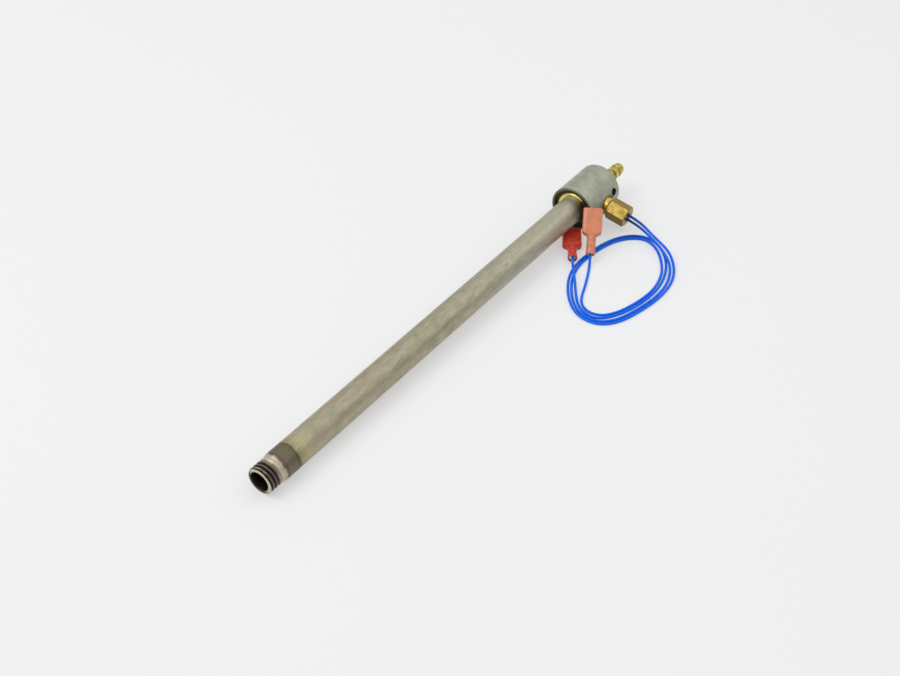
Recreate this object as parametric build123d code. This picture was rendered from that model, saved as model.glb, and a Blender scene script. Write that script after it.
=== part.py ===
"""Electric hot-air igniter element: a threaded steel pipe with a ceramic heater inside, a round
steel housing on its cold end, a brass gland with two leads, and a brass air nipple.

Every piece is built about the pipe's axis, which is X, with the outlet at the origin and the
gland towards -Y. The assembly is then rolled and pitched to the way it lies on a flat surface,
and its origin goes to the bottom centre of its box, measured without the leads. Millimetres.
"""
from build123d import *
import os
from math import atan2, cos, degrees, pi, radians, sin, sqrt, tan

# Pipe
PIPE_R = 6.86                # outside radius
PIPE_BORE_R = 4.62
PIPE_LENGTH = 246.0
THREAD_R = 6.5               # crest radius of both threads
OUTLET_THREAD_LENGTH = 8.6
OUTLET_RUNOUT = 2.4          # cone from the thread up to the full pipe
END_CHAMFER = 0.6
THREAD_CLEARANCE = 0.05      # radial, in every threaded or slip fit
CUT_OVERRUN = 1.0            # how far a cutting tool reaches past the surface

# Housing
HOUSING_R = 12.0
HOUSING_LENGTH = 28.0
PIPE_REACH = 10.5            # how far the pipe stands inside the housing
MOUTH_BORE_R = 10.6
CHAMBER_WALL = 2.0
REAR_WALL = 3.5
RIM_CHAMFER = 0.4
REAR_EDGE_R = 1.3
EARTH_HOLE_R = 2.0           # empty tapped hole beside the gland
EARTH_HOLE_SETBACK = 6.3     # behind the gland's axis, along the pipe
EARTH_HOLE_ANGLE = 24.0      # degrees round the housing, above the gland

# Bushing and its seal
BUSHING_RECESS = 0.8         # front face, inside the mouth
BUSHING_LENGTH = 10.7
BUSHING_COLLAR_R = 8.8
BUSHING_COLLAR_LENGTH = 2.2
BUSHING_SOCKET_DEPTH = 1.0   # takes the end of the full-size pipe
BUSHING_CHAMFER = 0.5
SEAL_THICKNESS = 0.9

# Side gland
GLAND_SETBACK = 4.6          # axis behind the bushing's rear face
GLAND_THREAD_R = 4.1
GLAND_ROOT = 8.8             # inner end, from the pipe's axis
GLAND_COLLAR_R = 4.8
GLAND_COLLAR_LENGTH = 2.7
GLAND_NECK_R = 3.9
GLAND_NECK_LENGTH = 4.2
GLAND_BORE_R = 3.0
GLAND_CHAMFER = 0.4
SPOT_FACE_DEPTH = 0.1
SPOT_FACE_MARGIN = 0.5
NUT_FLATS = 10.0
NUT_LENGTH = 10.6
NUT_GAP = 0.4                # between the collar and the nut
NUT_WALL_END = 2.2
NUT_END_HOLE_R = 2.6
NUT_TURN = 15.0              # degrees, one corner of the hexagon above the pipe's axis
GROMMET_R = 3.5

# Air nipple
PORT_R = 3.2                 # tapped hole in the housing's rear wall
NIPPLE_FLATS = 10.0
NIPPLE_HEX_LENGTH = 4.2
NIPPLE_WASHER = 0.6
NIPPLE_WASHER_R = 5.2
STEM_R = 2.8
BARB_R = 3.5
BARB_TIP_R = 2.95
BARB_COUNT = 3
BARB_PITCH = 4.1
BARB_TIP_CHAMFER = 0.35
STEM_START = 2.3             # plain stem between the hexagon and the first barb
NIPPLE_BORE_R = 1.5

# Heater inside the pipe
RING_X = 10.0                # front of the retaining ring, from the outlet
RING_WIDTH = 0.8
RING_DEPTH = 0.35            # groove in the pipe's bore
RING_INNER_R = 3.9
RING_GAP = 2.4
BORE_CLEARANCE = 0.07
SPACER_LENGTH = 3.0
AIR_HOLE_R = 0.75
AIR_HOLE_CIRCLE_R = 3.2
AIR_HOLES = 6
CORE_R = 2.4
COIL_PITCH = 5.5
COIL_TURNS = 10.5            # a half turn over, so the ends come out on opposite sides
RIBBON_WIDTH = 1.0
RIBBON_THICKNESS = 0.5
COIL_CLEARANCE = 0.1
COIL_LEG = 0.8               # square legs at the coil's ends
LEG_ROOM = 0.1
LINER_WALL = 0.9
INSULATOR_R = 2.35
INSULATOR_TAIL = 1.2         # stands out of the pipe's rear end
SUPPORT_LENGTH = 3.0
SUPPORT_INSET = 8.0          # support disc, from the pipe's rear end
SUPPORT_NOTCH_R = 0.9
ROD_R = 0.6
ROD_SPACING = 2.8
ROD_BEND_R = 2.0
ROD_CLEARANCE = 0.06

# Leads
WIRE_R = 0.7
SPLICE_R = 1.25
SPLICE_START = 4.4           # from the pipe's axis
SPLICE_LENGTH = 6.6
SPLICE_SHARE = 0.5           # how far the rod reaches into the splice

# Push-on terminals, measured from the wire end
SLEEVE_LENGTH = 24.2
SLEEVE_HEAD_LENGTH = 12.4
SLEEVE_NECK_LENGTH = 2.6
SLEEVE_HEAD_WIDTH = 9.8
SLEEVE_HEAD_HEIGHT = 4.9
SLEEVE_HEAD_CORNER = 1.7
SLEEVE_BARREL_R = 2.45
SLEEVE_BORE_R = 1.75
SLEEVE_EDGE_R = 0.5
POCKET_WIDTH = 7.8
POCKET_HEIGHT = 2.7
POCKET_CORNER = 0.9
POCKET_DEPTH = 11.4
CONTACT_CLEARANCE = 0.1
CONTACT_INSET = 1.2          # front edge, inside the sleeve
CONTACT_WALL = 0.45
CONTACT_STOP = 1.0           # solid back of the tab's room
CONTACT_SLIT = 0.9           # between the two rolled edges
CRIMP_INSET = 1.0            # crimp barrel, inside the sleeve's wire end

# How it lies: the gland points down a little, and the pipe rests on its shoulder and the rim
ROLL = 9.0

# The terminals as they came to rest: wire end, heading and rise in degrees. Their places and the
# leads' are measured on the floor, from below the point where the gland's axis meets the pipe's
TERMINAL_A_END = (-41.0, -17.3, 3.3)
TERMINAL_A_HEADING = 33.5
TERMINAL_A_RISE = -2.0
TERMINAL_B_END = (-33.7, -23.2, 3.9)
TERMINAL_B_HEADING = 31.0
TERMINAL_B_RISE = 36.0

# The leads lie in two loose turns on the floor. Their points are chosen by hand
EXIT_RUN = 7.0               # straight out of the gland
ENTRY_RUN_A = 7.5            # straight into the terminal
ENTRY_RUN_B = 5.3
ARC_SHARE = 0.45             # of the shorter run beside a corner
LEAD_A_ROUTE = [
    (-2.6, -41.6, 5.5), (-6.7, -53.6, 3.6), (-15.6, -61.9, 1.0), (-26.8, -65.9, 0.7),
    (-40.0, -66.5, 0.7), (-53.0, -64.5, 0.7), (-65.0, -61.4, 0.7), (-72.8, -56.3, 0.7),
    (-76.0, -48.8, 0.7), (-73.6, -39.0, 0.7), (-64.2, -29.4, 0.7), (-51.8, -22.1, 0.7),
    (-39.8, -19.5, 0.7), (-30.0, -19.9, 0.7), (-20.6, -20.8, 0.7), (-10.4, -23.7, 0.7),
    (-2.5, -29.2, 0.7), (1.0, -36.7, 0.7), (-2.0, -45.9, 0.7), (-10.3, -54.0, 0.7),
    (-21.3, -59.8, 0.7), (-33.9, -62.6, 0.7), (-45.9, -61.9, 0.7), (-55.8, -59.8, 0.7),
    (-63.8, -56.7, 0.7), (-69.8, -52.7, 0.7), (-72.3, -46.9, 0.7), (-69.3, -39.1, 0.7),
    (-62.6, -33.2, 1.1), (-55.2, -27.9, 2.6),
]
LEAD_B_ROUTE = [
    (-2.3, -40.3, 3.8), (-7.3, -50.4, 3.0), (-15.2, -59.3, 2.0), (-26.6, -64.1, 0.7),
    (-39.6, -64.9, 0.7), (-52.2, -62.9, 0.7), (-63.9, -59.8, 0.7), (-71.2, -55.1, 0.7),
    (-74.2, -48.4, 0.7), (-71.8, -39.4, 0.7), (-63.2, -30.9, 0.7), (-51.4, -23.9, 0.7),
    (-39.9, -21.1, 0.7), (-30.6, -21.5, 0.7), (-21.6, -22.5, 0.7), (-12.0, -25.2, 0.7),
    (-4.6, -30.4, 0.7), (-1.2, -37.1, 0.7), (-4.4, -44.9, 0.7), (-12.2, -52.2, 0.7),
    (-21.9, -58.2, 0.7), (-34.1, -61.0, 0.7), (-45.2, -60.3, 0.7), (-54.6, -58.3, 0.7),
    (-62.4, -55.5, 0.7), (-68.1, -51.3, 0.7), (-69.8, -45.4, 0.7), (-67.4, -39.8, 0.7),
    (-62.2, -36.1, 0.7), (-53.6, -32.9, 0.7), (-44.2, -28.8, 0.7),
]


def turned(points, radii=None):
    """Solid of revolution about the pipe's axis, from (x, radius) corners."""
    if radii is None:
        outline = Polyline(*points, close=True)
    else:
        outline = FilletPolyline(*points, radius=radii, close=True)
    return revolve(make_face(outline), Axis.X)


def along_pipe(start, end, radius, y=0.0, z=0.0):
    """Round bar parallel to the pipe's axis."""
    bar = Cylinder(radius, end - start, align=(Align.CENTER, Align.CENTER, Align.MIN))
    return Pos(start, y, z) * Rot(0, 90, 0) * bar


def hexagon(flats, turn=0.0):
    """Hexagonal face, with a corner turned from its own X axis."""
    reach = flats / sqrt(3)
    angles = [radians(turn + 60 * corner) for corner in range(6)]
    return make_face(Polyline(*[(reach * cos(a), reach * sin(a)) for a in angles], close=True))


def hexagon_bar(flats, length, turn=0.0):
    """Hexagonal bar along Z from the origin, its corners turned down at both ends."""
    reach = flats / sqrt(3)
    drop = (reach - flats / 2) / tan(radians(60))
    outline = Polyline(
        (0, 0), (flats / 2, 0), (reach, drop), (reach, length - drop), (flats / 2, length),
        (0, length), close=True,
    )
    envelope = revolve(make_face(Plane.XZ * outline), Axis.Z)
    return extrude(hexagon(flats, turn), length) & envelope


# Places that several pieces share
MOUTH_X = PIPE_LENGTH - PIPE_REACH
HOUSING_REAR = MOUTH_X + HOUSING_LENGTH
BUSHING_FRONT = MOUTH_X + BUSHING_RECESS
BUSHING_REAR = BUSHING_FRONT + BUSHING_LENGTH
SHOULDER_X = BUSHING_FRONT + BUSHING_SOCKET_DEPTH
FLANGE_X = BUSHING_FRONT + BUSHING_COLLAR_LENGTH
GLAND_X = BUSHING_REAR + GLAND_SETBACK
CHAMBER_R = HOUSING_R - CHAMBER_WALL
GLAND_SEAT = sqrt(HOUSING_R**2 - GLAND_COLLAR_R**2) - SPOT_FACE_DEPTH
NUT_START = GLAND_SEAT + GLAND_COLLAR_LENGTH + NUT_GAP
NUT_END = NUT_START + NUT_LENGTH
NECK_END = GLAND_SEAT + GLAND_COLLAR_LENGTH + GLAND_NECK_LENGTH
SPACER_X = RING_X + RING_WIDTH
CORE_X = SPACER_X + SPACER_LENGTH
COIL_R = CORE_R + COIL_CLEARANCE + RIBBON_THICKNESS / 2
COIL_START = CORE_X + RIBBON_WIDTH / 2 + LEG_ROOM
COIL_END = COIL_START + COIL_TURNS * COIL_PITCH
HOT_END = COIL_END + RIBBON_WIDTH / 2 + LEG_ROOM
INSULATOR_X = HOT_END + SPACER_LENGTH
PLUG_R = PIPE_BORE_R - BORE_CLEARANCE
ROD_Z = ROD_SPACING / 2
AT_GLAND = Pos(GLAND_X, 0, 0) * Rot(90, 0, 0)


def from_gland(start, end, radius, z=0.0):
    """Round bar along the gland's axis, from the pipe's axis outwards."""
    bar = Cylinder(radius, end - start, align=(Align.CENTER, Align.CENTER, Align.MIN))
    return AT_GLAND * Pos(0, z, start) * bar


def sheath_pipe():
    """Pipe with a thread at each end and a groove for the retaining ring."""
    groove_r = PIPE_BORE_R + RING_DEPTH
    pipe = turned([
        (0, PIPE_BORE_R),
        (0, THREAD_R - END_CHAMFER),
        (END_CHAMFER, THREAD_R),
        (OUTLET_THREAD_LENGTH, THREAD_R),
        (OUTLET_THREAD_LENGTH + OUTLET_RUNOUT, PIPE_R),
        (SHOULDER_X, PIPE_R),
        (SHOULDER_X, THREAD_R),
        (PIPE_LENGTH - END_CHAMFER, THREAD_R),
        (PIPE_LENGTH, THREAD_R - END_CHAMFER),
        (PIPE_LENGTH, PIPE_BORE_R),
        (RING_X + RING_WIDTH, PIPE_BORE_R),
        (RING_X + RING_WIDTH, groove_r),
        (RING_X, groove_r),
        (RING_X, PIPE_BORE_R),
    ])
    return pipe


def housing():
    """Round cup, open at the front, with a rear port, a gland port and an earth hole."""
    cup = turned(
        [
            (MOUTH_X, MOUTH_BORE_R + RIM_CHAMFER),
            (MOUTH_X, HOUSING_R - RIM_CHAMFER),
            (MOUTH_X + RIM_CHAMFER, HOUSING_R),
            (HOUSING_REAR, HOUSING_R),
            (HOUSING_REAR, PORT_R),
            (HOUSING_REAR - REAR_WALL, PORT_R),
            (HOUSING_REAR - REAR_WALL, CHAMBER_R),
            (BUSHING_REAR, CHAMBER_R),
            (BUSHING_REAR, MOUTH_BORE_R),
            (MOUTH_X + RIM_CHAMFER, MOUTH_BORE_R),
        ],
        [0, 0, 0, REAR_EDGE_R, 0, 0, 0, 0, 0, 0],
    )
    port = from_gland(GLAND_ROOT - SPLICE_R, HOUSING_R, GLAND_THREAD_R + THREAD_CLEARANCE)
    spot_face = from_gland(GLAND_SEAT, HOUSING_R + CUT_OVERRUN, GLAND_COLLAR_R + SPOT_FACE_MARGIN)
    earth_hole = Cylinder(EARTH_HOLE_R, HOUSING_R, align=(Align.CENTER, Align.CENTER, Align.MIN))
    earth_place = Pos(GLAND_X + EARTH_HOLE_SETBACK, 0, 0) * Rot(90 - EARTH_HOLE_ANGLE, 0, 0)
    return cup - port - spot_face - earth_place * Pos(0, 0, CHAMBER_R - CHAMBER_WALL) * earth_hole


def pipe_bushing():
    """Threaded ring with a collar, between the pipe and the housing's mouth."""
    return turned([
        (BUSHING_FRONT, PIPE_R + THREAD_CLEARANCE),
        (BUSHING_FRONT, BUSHING_COLLAR_R - BUSHING_CHAMFER),
        (BUSHING_FRONT + BUSHING_CHAMFER, BUSHING_COLLAR_R),
        (FLANGE_X, BUSHING_COLLAR_R),
        (FLANGE_X, MOUTH_BORE_R - THREAD_CLEARANCE),
        (BUSHING_REAR, MOUTH_BORE_R - THREAD_CLEARANCE),
        (BUSHING_REAR, THREAD_R + THREAD_CLEARANCE),
        (SHOULDER_X, THREAD_R + THREAD_CLEARANCE),
        (SHOULDER_X, PIPE_R + THREAD_CLEARANCE),
    ])


def bushing_seal():
    """Flat ring that lies on the bushing's flange, round its collar."""
    inner = BUSHING_COLLAR_R + THREAD_CLEARANCE
    outer = MOUTH_BORE_R - THREAD_CLEARANCE
    start = FLANGE_X - SEAL_THICKNESS
    return turned([(start, inner), (start, outer), (FLANGE_X, outer), (FLANGE_X, inner)])


def gland_body():
    """Threaded root, round collar on the housing's spot face, and a neck for the nut."""
    collar_end = GLAND_SEAT + GLAND_COLLAR_LENGTH
    outline = Plane.XZ * Polyline(
        (GLAND_BORE_R, GLAND_ROOT),
        (GLAND_THREAD_R, GLAND_ROOT),
        (GLAND_THREAD_R, GLAND_SEAT),
        (GLAND_COLLAR_R, GLAND_SEAT),
        (GLAND_COLLAR_R, collar_end - GLAND_CHAMFER),
        (GLAND_COLLAR_R - GLAND_CHAMFER, collar_end),
        (GLAND_NECK_R, collar_end),
        (GLAND_NECK_R, NECK_END),
        (GLAND_BORE_R, NECK_END),
        close=True,
    )
    return AT_GLAND * revolve(make_face(outline), Axis.Z)


def gland_nut():
    """Long hexagonal nut that presses the grommet against the neck."""
    bar = AT_GLAND * Pos(0, 0, NUT_START) * hexagon_bar(NUT_FLATS, NUT_LENGTH, -NUT_TURN)
    thread = from_gland(NUT_START, NECK_END, GLAND_NECK_R + THREAD_CLEARANCE)
    cavity = from_gland(NECK_END, NUT_END - NUT_WALL_END, GROMMET_R + THREAD_CLEARANCE)
    hole = from_gland(NUT_END - NUT_WALL_END, NUT_END, NUT_END_HOLE_R)
    return bar - thread - cavity - hole


def gland_grommet():
    """Rubber plug with a hole for each lead, its nose flush with the nut."""
    plug = from_gland(NECK_END, NUT_END - NUT_WALL_END, GROMMET_R)
    nose = from_gland(NUT_END - NUT_WALL_END, NUT_END, NUT_END_HOLE_R - THREAD_CLEARANCE)
    holes = [from_gland(NECK_END, NUT_END, WIRE_R + THREAD_CLEARANCE, z) for z in (ROD_Z, -ROD_Z)]
    return plug + nose - holes[0] - holes[1]


def nipple_seal():
    """Washer between the nipple's hexagon and the housing."""
    end = HOUSING_REAR + NIPPLE_WASHER
    inner = PORT_R
    return turned([
        (HOUSING_REAR, inner), (HOUSING_REAR, NIPPLE_WASHER_R), (end, NIPPLE_WASHER_R), (end, inner),
    ])


def inlet_nipple():
    """Hose nipple: threaded root, hexagon, stem and barbs."""
    hex_start = HOUSING_REAR + NIPPLE_WASHER
    hex_end = hex_start + NIPPLE_HEX_LENGTH
    barb_start = hex_end + STEM_START
    tip = barb_start + BARB_COUNT * BARB_PITCH
    points = [
        (HOUSING_REAR - REAR_WALL, NIPPLE_BORE_R),
        (HOUSING_REAR - REAR_WALL, PORT_R - THREAD_CLEARANCE),
        (hex_start, PORT_R - THREAD_CLEARANCE),
        (hex_end, PORT_R - THREAD_CLEARANCE),
        (hex_end, STEM_R),
    ]
    for barb in range(BARB_COUNT):
        edge = barb_start + barb * BARB_PITCH
        points += [(edge, STEM_R), (edge, BARB_R)]
        if barb < BARB_COUNT - 1:
            points += [(edge + BARB_PITCH, STEM_R)]
    points += [
        (tip - BARB_TIP_CHAMFER, BARB_TIP_R),
        (tip, BARB_TIP_R - BARB_TIP_CHAMFER),
        (tip, NIPPLE_BORE_R),
    ]
    distinct = [p for i, p in enumerate(points) if i == 0 or p != points[i - 1]]
    shoulder = Pos(hex_start, 0, 0) * Rot(0, 90, 0) * hexagon_bar(NIPPLE_FLATS, NIPPLE_HEX_LENGTH)
    return turned(distinct) + (shoulder - along_pipe(hex_start, hex_end, NIPPLE_BORE_R))


def retaining_ring():
    """Split ring in the bore's groove."""
    outer = PIPE_BORE_R + RING_DEPTH - BORE_CLEARANCE
    end = RING_X + RING_WIDTH
    ring = turned([(RING_X, RING_INNER_R), (RING_X, outer), (end, outer), (end, RING_INNER_R)])
    gap = Pos(RING_X + RING_WIDTH / 2, outer, 0) * Box(2 * RING_WIDTH, outer, RING_GAP)
    return ring - gap


def air_holes(start, end):
    """Ring of holes that let the air through a disc."""
    holes = []
    for number in range(AIR_HOLES):
        angle = 2 * pi * (number + 0.5) / AIR_HOLES
        y = AIR_HOLE_CIRCLE_R * sin(angle)
        z = AIR_HOLE_CIRCLE_R * cos(angle)
        holes.append(along_pipe(start, end, AIR_HOLE_R, y, z))
    return holes


def front_spacer():
    """Perforated ceramic disc at the hot end."""
    disc = along_pipe(SPACER_X, CORE_X, PLUG_R)
    for hole in air_holes(SPACER_X, CORE_X):
        disc -= hole
    return disc


def rear_spacer():
    """Perforated ceramic disc behind the coil, with a hole for each rod."""
    disc = along_pipe(HOT_END, INSULATOR_X, PLUG_R)
    for hole in air_holes(HOT_END, INSULATOR_X):
        disc -= hole
    for z in (ROD_Z, -ROD_Z):
        disc -= along_pipe(HOT_END, INSULATOR_X, ROD_R + ROD_CLEARANCE, 0, z)
    return disc


def ceramic_core():
    """Rod inside the coil, with a bore and a front notch for the returning lead rod."""
    end = COIL_END - COIL_LEG / 2 - LEG_ROOM
    core = along_pipe(CORE_X, end, CORE_R)
    bore = along_pipe(CORE_X, end, ROD_R + ROD_CLEARANCE, 0, -ROD_Z)
    notch_length = COIL_START + COIL_LEG / 2 + LEG_ROOM - CORE_X
    notch = Pos(CORE_X, 0, -ROD_Z) * Box(
        notch_length, COIL_LEG + 2 * LEG_ROOM, CORE_R, align=(Align.MIN, Align.CENTER, Align.MAX),
    )
    return core - bore - notch


def heating_coil():
    """Resistance ribbon wound on the core, with a square leg at each end down to its rod."""
    path = Helix(COIL_PITCH, COIL_TURNS * COIL_PITCH, COIL_R)
    section = Plane(path @ 0, x_dir=(1, 0, 0), z_dir=path % 0) * Rectangle(
        RIBBON_THICKNESS, RIBBON_WIDTH
    )
    ribbon = Pos(COIL_START, 0, 0) * Rot(0, 90, 0) * sweep(section, path=path, is_frenet=True)
    depth = COIL_R - ROD_Z - ROD_R
    align = (Align.CENTER, Align.CENTER, Align.MIN)
    leg = Box(COIL_LEG, COIL_LEG, depth, align=align)
    front = Pos(COIL_START, 0, -COIL_R) * leg
    reach = Box(COIL_LEG, COIL_LEG, COIL_R - ROD_Z + ROD_R, align=align)
    rear = Pos(COIL_END, 0, ROD_Z - ROD_R) * reach
    return ribbon + front + rear


def ceramic_liner():
    """Tube between the coil and the pipe."""
    inner = PLUG_R - LINER_WALL
    return turned([(CORE_X, inner), (CORE_X, PLUG_R), (HOT_END, PLUG_R), (HOT_END, inner)])


def lead_insulator():
    """Long twin-bore ceramic tube along the cold end."""
    end = PIPE_LENGTH + INSULATOR_TAIL
    tube = along_pipe(INSULATOR_X, end, INSULATOR_R)
    for z in (ROD_Z, -ROD_Z):
        tube -= along_pipe(INSULATOR_X, end, ROD_R + ROD_CLEARANCE, 0, z)
    return tube


def insulator_support():
    """Notched disc that centres the insulator in the pipe."""
    end = PIPE_LENGTH - SUPPORT_INSET
    start = end - SUPPORT_LENGTH
    disc = along_pipe(start, end, PLUG_R)
    disc -= along_pipe(start, end, INSULATOR_R + ROD_CLEARANCE)
    for number in range(AIR_HOLES):
        angle = 2 * pi * number / AIR_HOLES
        disc -= along_pipe(start, end, SUPPORT_NOTCH_R, PLUG_R * sin(angle), PLUG_R * cos(angle))
    return disc


def lead_rod(start, z):
    """Rod from the coil through the insulator, bent into the gland."""
    stop = SPLICE_START + SPLICE_LENGTH * SPLICE_SHARE
    path = FilletPolyline((start, 0, z), (GLAND_X, 0, z), (GLAND_X, -stop, z), radius=ROD_BEND_R)
    section = Plane(origin=(start, 0, z), z_dir=(1, 0, 0)) * Circle(ROD_R)
    return sweep(section, path=path)


def splice(z):
    """Crimp sleeve over the end of a rod and the end of a lead."""
    end = SPLICE_START + SPLICE_LENGTH
    sleeve = from_gland(SPLICE_START, end, SPLICE_R, z)
    return sleeve - from_gland(SPLICE_START, end, WIRE_R + THREAD_CLEARANCE, z)


def lead_tail(z):
    """The lead's own end, from the splice through the grommet to its face."""
    start = SPLICE_START + SPLICE_LENGTH * SPLICE_SHARE
    return from_gland(start, NUT_END, WIRE_R, z)


def rounded_slab(start, end, width, height, corner):
    """Bar along X with a rounded rectangular section."""
    section = Plane(origin=(start, 0, 0), x_dir=(0, 1, 0), z_dir=(1, 0, 0)) * RectangleRounded(
        width, height, corner
    )
    return extrude(section, end - start)


def terminal_sleeve():
    """Insulating sleeve along X from its wire end: round barrel, neck and flat head."""
    head_x = SLEEVE_LENGTH - SLEEVE_HEAD_LENGTH
    neck_x = head_x - SLEEVE_NECK_LENGTH
    barrel = along_pipe(0, neck_x, SLEEVE_BARREL_R)
    round_end = Plane(origin=(neck_x, 0, 0), x_dir=(0, 1, 0), z_dir=(1, 0, 0)) * Circle(
        SLEEVE_BARREL_R
    )
    flat_end = Plane(origin=(head_x, 0, 0), x_dir=(0, 1, 0), z_dir=(1, 0, 0)) * RectangleRounded(
        SLEEVE_HEAD_WIDTH, SLEEVE_HEAD_HEIGHT, SLEEVE_HEAD_CORNER
    )
    neck = loft([round_end, flat_end])
    head = rounded_slab(
        head_x, SLEEVE_LENGTH, SLEEVE_HEAD_WIDTH, SLEEVE_HEAD_HEIGHT, SLEEVE_HEAD_CORNER
    )
    head = fillet(head.faces().sort_by(Axis.X)[-1].edges(), SLEEVE_EDGE_R)
    pocket = rounded_slab(
        SLEEVE_LENGTH - POCKET_DEPTH, SLEEVE_LENGTH, POCKET_WIDTH, POCKET_HEIGHT, POCKET_CORNER
    )
    bore = along_pipe(0, SLEEVE_LENGTH - POCKET_DEPTH, SLEEVE_BORE_R)
    return barrel + neck + head - pocket - bore


def terminal_contact():
    """Plated receptacle inside the sleeve: a box with rolled edges and a crimp barrel."""
    front = SLEEVE_LENGTH - CONTACT_INSET
    back = SLEEVE_LENGTH - POCKET_DEPTH
    width = POCKET_WIDTH - 2 * CONTACT_CLEARANCE
    height = POCKET_HEIGHT - 2 * CONTACT_CLEARANCE
    corner = POCKET_CORNER - CONTACT_CLEARANCE
    shell = rounded_slab(back, front, width, height, corner)
    inner_width = width - 2 * CONTACT_WALL
    inner_height = height - 2 * CONTACT_WALL
    tab_room = rounded_slab(back + CONTACT_STOP, front, inner_width, inner_height, corner - CONTACT_WALL)
    slit = Pos((back + front) / 2, 0, height / 2) * Box(front - back, CONTACT_SLIT, height)
    crimp = along_pipe(CRIMP_INSET, back, SLEEVE_BORE_R - CONTACT_CLEARANCE)
    return shell - tab_room - slit + crimp


PIECES = {
    "sheath_pipe": sheath_pipe(),
    "housing": housing(),
    "pipe_bushing": pipe_bushing(),
    "bushing_seal": bushing_seal(),
    "gland_body": gland_body(),
    "gland_nut": gland_nut(),
    "gland_grommet": gland_grommet(),
    "nipple_seal": nipple_seal(),
    "inlet_nipple": inlet_nipple(),
    "retaining_ring": retaining_ring(),
    "front_spacer": front_spacer(),
    "ceramic_core": ceramic_core(),
    "heating_coil": heating_coil(),
    "ceramic_liner": ceramic_liner(),
    "rear_spacer": rear_spacer(),
    "lead_insulator": lead_insulator(),
    "insulator_support": insulator_support(),
    "lead_rod_a": lead_rod(COIL_END + COIL_LEG / 2, ROD_Z),
    "lead_rod_b": lead_rod(CORE_X, -ROD_Z),
    "splice_a": splice(ROD_Z),
    "splice_b": splice(-ROD_Z),
    "lead_tail_a": lead_tail(ROD_Z),
    "lead_tail_b": lead_tail(-ROD_Z),
}

# The floor touches the pipe where its thread's run-out ends, and the rim of the mouth
REST_X = OUTLET_THREAD_LENGTH + OUTLET_RUNOUT
RIM_X = MOUTH_X + RIM_CHAMFER
PITCH = degrees(atan2(HOUSING_R - PIPE_R, RIM_X - REST_X))
LIFT = PIPE_R * cos(radians(PITCH)) - REST_X * sin(radians(PITCH))
lying = Pos(0, 0, LIFT) * Rot(0, -PITCH, 0) * Rot(ROLL, 0, 0)
box = Compound([lying * piece for piece in PIECES.values()]).bounding_box()
PLACE = Pos(-box.center().X, -box.center().Y, -box.min.Z) * lying
gland_foot = (PLACE * Pos(GLAND_X, 0, 0)).position
ON_FLOOR = Pos(gland_foot.X, gland_foot.Y, 0)


def terminal_place(end, heading, rise):
    """Where a terminal came to rest."""
    return ON_FLOOR * Pos(*end) * Rot(0, 0, heading) * Rot(0, -rise, 0)


def lead_points(exit_z, route, terminal, entry_run):
    """Corners of a lead: straight out of the grommet, round the loops, straight into a terminal."""
    nose = PLACE * AT_GLAND * Pos(0, exit_z, NUT_END)
    start = [nose.position, (nose * Pos(0, 0, EXIT_RUN)).position]
    end = [(terminal * Pos(x, 0, 0)).position for x in (-entry_run, CRIMP_INSET)]
    return start + [(ON_FLOOR * Pos(*point)).position for point in route] + end


def lead(name, points):
    """Round tube along straight runs and the largest arcs that they leave room for."""
    radii = []
    for before, corner, after in zip(points, points[1:], points[2:]):
        turn = (corner - before).get_angle(after - corner)
        shorter = min((corner - before).length, (after - corner).length)
        radii.append(ARC_SHARE * shorter / tan(radians(turn) / 2))
    path = FilletPolyline(*points, radius=radii)
    section = Plane(origin=points[0], z_dir=points[1] - points[0]) * Circle(WIRE_R)
    tube = sweep(section, path=path)
    print(name, "radii", [round(radius, 1) for radius in radii])
    print(name, "length", round(path.length, 1), "volume", round(tube.volume, 2),
          "section x length", round(pi * WIRE_R**2 * path.length, 2))
    return tube


AT_TERMINAL_A = terminal_place(TERMINAL_A_END, TERMINAL_A_HEADING, TERMINAL_A_RISE)
AT_TERMINAL_B = terminal_place(TERMINAL_B_END, TERMINAL_B_HEADING, TERMINAL_B_RISE)
LOOSE_PIECES = {
    "lead_wire_a": lead("lead a", lead_points(ROD_Z, LEAD_A_ROUTE, AT_TERMINAL_A, ENTRY_RUN_A)),
    "lead_wire_b": lead("lead b", lead_points(-ROD_Z, LEAD_B_ROUTE, AT_TERMINAL_B, ENTRY_RUN_B)),
    "terminal_sleeve_a": AT_TERMINAL_A * terminal_sleeve(),
    "terminal_sleeve_b": AT_TERMINAL_B * terminal_sleeve(),
    "terminal_contact_a": AT_TERMINAL_A * terminal_contact(),
    "terminal_contact_b": AT_TERMINAL_B * terminal_contact(),
}

os.makedirs("parts", exist_ok=True)
for name, piece in PIECES.items():
    export_step(PLACE * piece, f"parts/{name}.step")
for name, piece in LOOSE_PIECES.items():
    export_step(piece, f"parts/{name}.step")
print("size without the leads", box.size, "centre", box.center(), "floor point", gland_foot)
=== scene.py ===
"""Looks of a hot-air igniter element: a steel pipe with a threaded outlet, a round housing, a
brass gland with two blue leads to push-on terminals, and a brass air nipple. Metres."""
from math import cos, pi, radians, sin

import bpy
import numpy as np
from bpy.props import FloatProperty, FloatVectorProperty, PointerProperty
from mathutils import Matrix, Vector


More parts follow.
